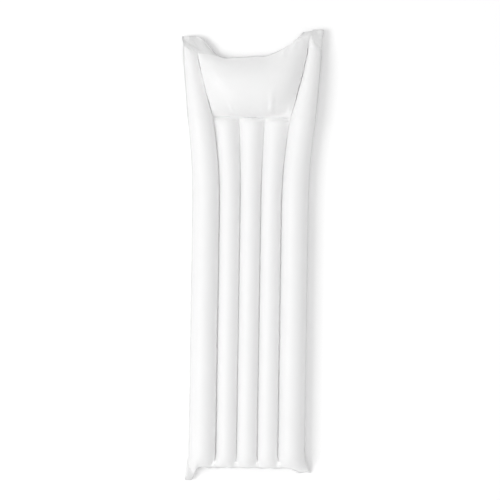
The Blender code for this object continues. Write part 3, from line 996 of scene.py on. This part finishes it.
def film_material(s):
    """Satin white PVC film with pressed welds and fine gathers beside them."""
    name = "satin_film"
    if name in bpy.data.materials:
        return bpy.data.materials[name]
    material = bpy.data.materials.new(name)
    material.use_nodes = True
    tree = material.node_tree
    shader = tree.nodes["Principled BSDF"]
    uv = tree.nodes.new("ShaderNodeUVMap")
    uv.uv_map = "flat"
    weld = tree.nodes.new("ShaderNodeAttribute")
    weld.attribute_name = "weld"
    group = tree.nodes.new("ShaderNodeGroup")
    group.node_tree = vinyl_group()
    group.inputs["Colour"].default_value = (*s.colour, 1.0)
    group.inputs["Grain scale"].default_value = 1400.0
    group.inputs["Roughness"].default_value = 0.50
    group.inputs["Roughness spread"].default_value = 0.10
    group.inputs["Dust"].default_value = 0.03
    tree.links.new(uv.outputs["UV"], group.inputs["Vector"])
    clear = tree.nodes.new("ShaderNodeMix")
    clear.data_type = "RGBA"
    clear.blend_type = "MULTIPLY"
    clear.inputs["B"].default_value = (DOUBLED_TONE, DOUBLED_TONE, DOUBLED_TONE, 1.0)
    doubled = tree.nodes.new("ShaderNodeAttribute")
    doubled.attribute_name = "doubled"
    tree.links.new(doubled.outputs["Fac"], clear.inputs["Factor"])
    tree.links.new(group.outputs["Colour"], clear.inputs["A"])
    tree.links.new(clear.outputs["Result"], shader.inputs["Base Color"])
    tree.links.new(group.outputs["Roughness"], shader.inputs["Roughness"])
    checks = tree.nodes.new("ShaderNodeTexVoronoi")
    checks.inputs["Scale"].default_value = 900.0
    tree.links.new(uv.outputs["UV"], checks.inputs["Vector"])
    pressed = math_node(tree, "SMOOTH_MIN", weld.outputs["Fac"], 1.0, 0.05)
    near = math_node(tree, "SUBTRACT", 1.0, weld.outputs["Fac"])
    near = math_node(tree, "MULTIPLY", weld.outputs["Fac"], near)
    near = math_node(tree, "MULTIPLY", near, 4.0)
    split = tree.nodes.new("ShaderNodeSeparateXYZ")
    tree.links.new(uv.outputs["UV"], split.inputs["Vector"])
    stretched = tree.nodes.new("ShaderNodeCombineXYZ")
    tree.links.new(math_node(tree, "MULTIPLY", split.outputs["X"], 18.0), stretched.inputs["X"])
    tree.links.new(math_node(tree, "MULTIPLY", split.outputs["Y"], 110.0), stretched.inputs["Y"])
    gathers = noise_node(tree, stretched.outputs["Vector"], 1.0, 2.0, 0.5)
    gathers = math_node(tree, "MULTIPLY", math_node(tree, "SUBTRACT", gathers, 0.5), near)
    height = math_node(tree, "MULTIPLY", group.outputs["Height"], 0.00002)
    height = math_node(tree, "MULTIPLY_ADD", gathers, 0.0035, height)
    texture = math_node(tree, "MULTIPLY", checks.outputs["Distance"], pressed)
    height = math_node(tree, "MULTIPLY_ADD", texture, 0.00012, height)
    bump = tree.nodes.new("ShaderNodeBump")
    bump.inputs["Strength"].default_value = 1.0
    bump.inputs["Distance"].default_value = 1.0
    tree.links.new(height, bump.inputs["Height"])
    tree.links.new(bump.outputs["Normal"], shader.inputs["Normal"])
    shader.inputs["Specular IOR Level"].default_value = 0.5
    shader.inputs["IOR"].default_value = 1.52
    shader.inputs["Sheen Weight"].default_value = 0.5
    shader.inputs["Sheen Roughness"].default_value = 0.5
    shader.subsurface_method = "BURLEY"
    shader.inputs["Subsurface Weight"].default_value = 0.7
    shader.inputs["Subsurface Radius"].default_value = (1.0, 1.0, 1.0)
    shader.inputs["Subsurface Scale"].default_value = 0.020
    return material


def moulding_material(s):
    """Soft moulded PVC, a little glossier than the film."""
    name = "valve_pvc"
    if name in bpy.data.materials:
        return bpy.data.materials[name]
    material = bpy.data.materials.new(name)
    material.use_nodes = True
    tree = material.node_tree
    shader = tree.nodes["Principled BSDF"]
    place = tree.nodes.new("ShaderNodeTexCoord")
    group = tree.nodes.new("ShaderNodeGroup")
    group.node_tree = vinyl_group()
    group.inputs["Colour"].default_value = (*s.colour, 1.0)
    group.inputs["Grain scale"].default_value = 2600.0
    group.inputs["Roughness"].default_value = 0.32
    group.inputs["Roughness spread"].default_value = 0.06
    group.inputs["Dust"].default_value = 0.05
    tree.links.new(place.outputs["Object"], group.inputs["Vector"])
    tree.links.new(group.outputs["Colour"], shader.inputs["Base Color"])
    tree.links.new(group.outputs["Roughness"], shader.inputs["Roughness"])
    bump = tree.nodes.new("ShaderNodeBump")
    bump.inputs["Strength"].default_value = 1.0
    bump.inputs["Distance"].default_value = 1.0
    tree.links.new(math_node(tree, "MULTIPLY", group.outputs["Height"], 0.00002), bump.inputs["Height"])
    tree.links.new(bump.outputs["Normal"], shader.inputs["Normal"])
    return material


def turned(bm, profile, steps):
    """Turns a closed profile of (radius, height) points round +Z."""
    start = [bm.verts.new((radius, 0.0, height)) for radius, height in profile]
    edges = [bm.edges.new((a, b)) for a, b in zip(start, start[1:])]
    if profile[0][0] > 0.0:
        edges.append(bm.edges.new((start[-1], start[0])))
    full = 2 * math.pi
    ring = start + edges
    bmesh.ops.spin(bm, geom=ring, cent=(0, 0, 0), axis=(0, 0, 1), angle=full, steps=steps, use_merge=True)
    bmesh.ops.remove_doubles(bm, verts=bm.verts, dist=1e-4)


def bar(bm, low, high):
    """A box between two corners."""
    box = bmesh.ops.create_cube(bm, size=1.0)["verts"]
    size = Vector(high) - Vector(low)
    bmesh.ops.scale(bm, verts=box, vec=size)
    bmesh.ops.translate(bm, verts=box, vec=(Vector(low) + Vector(high)) / 2)


def pin(bm, place, radius, half, steps):
    """A round pin along Y."""
    turn = Matrix.Translation(place) @ Matrix.Rotation(math.pi / 2, 4, "X")
    bmesh.ops.create_cone(
        bm, cap_ends=True, segments=steps, radius1=radius, radius2=radius, depth=2 * half, matrix=turn
    )


def valve_piece(bm, name, centre, node, body, material, bevel):
    """Places a valve piece, made in millimetres with +Z out of the mattress, under the film."""
    bmesh.ops.recalc_face_normals(bm, faces=bm.faces)
    turn = Matrix.Translation((centre[0], centre[1], 0.0)) @ Matrix.Rotation(math.pi, 4, "X")
    bmesh.ops.transform(bm, matrix=turn @ Matrix.Scale(0.001, 4), verts=bm.verts)
    mesh = bpy.data.meshes.new(name)
    bm.to_mesh(mesh)
    bm.free()
    for face in mesh.polygons:
        face.use_smooth = True
    piece = bpy.data.objects.new(name, mesh)
    bpy.context.scene.collection.objects.link(piece)
    rounded = piece.modifiers.new("Rounded", "BEVEL")
    rounded.width = bevel / 1000
    rounded.segments = 2
    rounded.limit_method = "ANGLE"
    rounded.angle_limit = math.radians(28)
    mesh.materials.append(material)
    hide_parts(node)
    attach(piece, body)


class MATTRESS_OT_valves(bpy.types.Operator):
    """Makes the body's and the pillow's valve"""

    bl_idname = "mattress.valves"
    bl_label = "Make the valves"

    def execute(self, context):
        """Makes the four pieces of each valve."""
        settings = context.scene.mattress_valve
        material = moulding_material(settings)
        s = in_millimetres(settings)
        for part, centre in (("body", settings.body_place), ("pillow", settings.pillow_place)):
            node = part + "_valve_"
            bm = bmesh.new()
            turned(bm, base_profile(s), s.steps)
            valve_piece(bm, part + "_base", centre, node + "base", "mattress", material, 0.12)
            bm = bmesh.new()
            turned(bm, stem_profile(s), s.steps)
            bar(bm, (4.25, -1.5, -3.62), (HINGE_X, 1.5, -2.72))
            bar(bm, (5.3, -1.5, -19.6), (6.5, 1.5, -18.2))
            valve_piece(bm, part + "_stem", centre, node + "stem", part + "_stem", material, 0.12)
            bm = bmesh.new()
            turned(bm, plug_profile(s), s.steps)
            bar(bm, (4.25, -1.5, PLUG_SEAT), (HINGE_X, 1.5, -1.22))
            pin(bm, Vector((HINGE_X, 0.0, -2.27)), 0.5, 1.5, 24)
            for x in (-2.2, -0.8, 0.6, 2.0):
                bar(bm, (x, -2.4, PLUG_TOP + 0.02), (x + 0.5, 2.4, -0.82))
            valve_piece(bm, part + "_plug", centre, node + "plug", part + "_plug", material, 0.14)
            bm = bmesh.new()
            turned(bm, [(0.0, -18.87), (s.flap, -18.92), (s.flap, -19.32), (0.0, -19.37)], s.steps)
            bar(bm, (4.2, -1.2, -19.32), (4.9, 1.2, -19.0))
            valve_piece(bm, part + "_flap", centre, node + "flap", part + "_flap", material, 0.08)
        return {"FINISHED"}


def in_millimetres(settings):
    """The valve's radii in millimetres, and its steps."""
    names = ("flange", "recess", "guide", "stem", "bore", "collar", "head", "flap")
    return SimpleNamespace(steps=settings.steps, **{name: getattr(settings, name) * 1000 for name in names})


def base_profile(s):
    """The flange, the soft recess with two fold lines, and the guide ring."""
    under = FLANGE_TOP - 0.8
    outer = [(s.flange, FLANGE_TOP), (s.flange, under), (s.recess + 1.0, under)]
    inner = []
    for k in range(13):
        t = k / 12
        ripple = 0.16 * math.sin(4 * math.pi * t) ** 2
        radius = s.recess + (s.guide - s.recess) * t
        inner.append((radius + ripple, FLANGE_TOP - 7.6 * t))
    back = [(radius + 1.1, height - 0.25) for radius, height in inner[1:]]
    return outer + back + [(s.guide + 1.1, GUIDE_END), (s.guide, GUIDE_END)] + inner[::-1]


def stem_profile(s):
    """The tube with its rounded lip and its stop collar."""
    return [
        (s.stem, -2.75),
        (s.stem + 0.12, -2.6),
        (s.stem, MOUTH),
        (s.bore + 0.15, MOUTH),
        (s.bore, -2.7),
        (s.bore, STEM_END),
        (s.collar, STEM_END),
        (s.collar, STEM_END + 1.2),
        (s.stem, STEM_END + 1.2),
        (s.stem, -10.5),
    ]


def plug_profile(s):
    """The plug's head with its raised rim, and its spigot with two sealing rings."""
    return [
        (0.0, PLUG_TOP),
        (s.head - 1.3, PLUG_TOP),
        (s.head - 1.0, -1.02),
        (s.head - 0.2, -1.02),
        (s.head, -1.3),
        (s.head, PLUG_SEAT),
        (s.bore - 0.3, PLUG_SEAT),
        (s.bore - 0.35, -2.9),
        (s.bore - 0.2, -3.1),
        (s.bore - 0.4, -3.3),
        (s.bore - 0.5, -4.0),
        (s.bore - 0.35, -4.2),
        (s.bore - 0.6, -4.4),
        (s.bore - 0.95, SPIGOT_END),
        (0.0, SPIGOT_END),
    ]


def aim_area(name, place, size, watts):
    """A soft square area light that faces the mattress's middle."""
    light = bpy.data.lights.new(name, "AREA")
    light.shape = "SQUARE"
    light.size = size
    light.energy = watts
    lamp = bpy.data.objects.new(name, light)
    bpy.context.scene.collection.objects.link(lamp)
    lamp.location = place
    lamp.rotation_euler = (-Vector(place)).to_track_quat("-Z", "Y").to_euler()


def floor_material(s):
    """A pale floor that looks white to the camera and still takes the shadow."""
    material = bpy.data.materials.new("floor")
    material.use_nodes = True
    tree = material.node_tree
    shader = tree.nodes["Principled BSDF"]
    rays = tree.nodes.new("ShaderNodeLightPath")
    seen = tree.nodes.new("ShaderNodeMix")
    seen.data_type = "RGBA"
    seen.inputs["A"].default_value = (*s.floor, 1.0)
    seen.inputs["B"].default_value = (1.07, 1.07, 1.07, 1.0)
    direct = math_node(tree, "MAXIMUM", rays.outputs["Is Camera Ray"], rays.outputs["Is Glossy Ray"])
    direct = math_node(tree, "MAXIMUM", direct, rays.outputs["Is Transmission Ray"])
    tree.links.new(direct, seen.inputs["Factor"])
    tree.links.new(seen.outputs["Result"], shader.inputs["Base Color"])
    shader.inputs["Roughness"].default_value = 0.9
    shader.inputs["Specular IOR Level"].default_value = 0.0
    return material


class MATTRESS_OT_studio(bpy.types.Operator):
    """Makes the floor, the lights and the camera"""

    bl_idname = "mattress.studio"
    bl_label = "Make the studio"

    def execute(self, context):
        """Builds the stage."""
        s = context.scene.mattress_studio
        scene = context.scene
        bm = bmesh.new()
        bmesh.ops.create_grid(bm, x_segments=1, y_segments=1, size=20.0)
        mesh = bpy.data.meshes.new("floor")
        bm.to_mesh(mesh)
        bm.free()
        floor = bpy.data.objects.new("floor", mesh)
        floor.location.z = -0.0005
        scene.collection.objects.link(floor)
        mesh.materials.append(floor_material(s))
        aim_area("key", (-6.3, -1.2, 8.5), 4.4, s.key)
        aim_area("overhead", (-0.4, -0.4, 10.4), 5.2, s.top)
        world = bpy.data.worlds.new("sky")
        scene.world = world
        world.use_nodes = True
        background = world.node_tree.nodes["Background"]
        background.inputs["Color"].default_value = (1.0, 1.0, 1.0, 1.0)
        background.inputs["Strength"].default_value = s.sky
        camera = bpy.data.cameras.new("camera")
        camera.sensor_width = 36.0
        camera.lens = 36.0 * s.camera_height / s.picture_width
        eye = bpy.data.objects.new("camera", camera)
        scene.collection.objects.link(eye)
        eye.location = (*s.centre, s.camera_height)
        eye.rotation_euler = (0.0, 0.0, s.camera_turn)
        scene.camera = eye
        scene.view_settings.view_transform = "Standard"
        return {"FINISHED"}


class MATTRESS_PT_panel(bpy.types.Panel):
    """The mattress's settings and buttons"""

    bl_idname = "MATTRESS_PT_panel"
    bl_label = "Pool air mattress"
    bl_space_type = "VIEW_3D"
    bl_region_type = "UI"
    bl_category = "Mattress"

    def draw(self, context):
        """Lists the settings above their buttons."""
        layout = self.layout
        for group, operator in (
            (context.scene.mattress_film, MATTRESS_OT_film),
            (context.scene.mattress_valve, MATTRESS_OT_valves),
            (context.scene.mattress_studio, MATTRESS_OT_studio),
        ):
            box = layout.box()
            for name in group.__annotations__:
                box.prop(group, name)
            box.operator(operator.bl_idname)


CLASSES = (
    MattressFilm,
    MattressValve,
    MattressStudio,
    MATTRESS_OT_film,
    MATTRESS_OT_valves,
    MATTRESS_OT_studio,
    MATTRESS_PT_panel,
)


def register():
    """Registers the classes and hangs the settings on the scene."""
    for cls in CLASSES:
        bpy.utils.register_class(cls)
    bpy.types.Scene.mattress_film = bpy.props.PointerProperty(type=MattressFilm)
    bpy.types.Scene.mattress_valve = bpy.props.PointerProperty(type=MattressValve)
    bpy.types.Scene.mattress_studio = bpy.props.PointerProperty(type=MattressStudio)


def unregister():
    """Takes the settings and the classes away again."""
    del bpy.types.Scene.mattress_studio
    del bpy.types.Scene.mattress_valve
    del bpy.types.Scene.mattress_film
    for cls in reversed(CLASSES):
        bpy.utils.unregister_class(cls)


def main():
    """Makes the mattress and its studio."""
    register()
    bpy.ops.mattress.film()
    bpy.ops.mattress.valves()
    bpy.ops.mattress.studio()


if __name__ == "__main__":
    main()
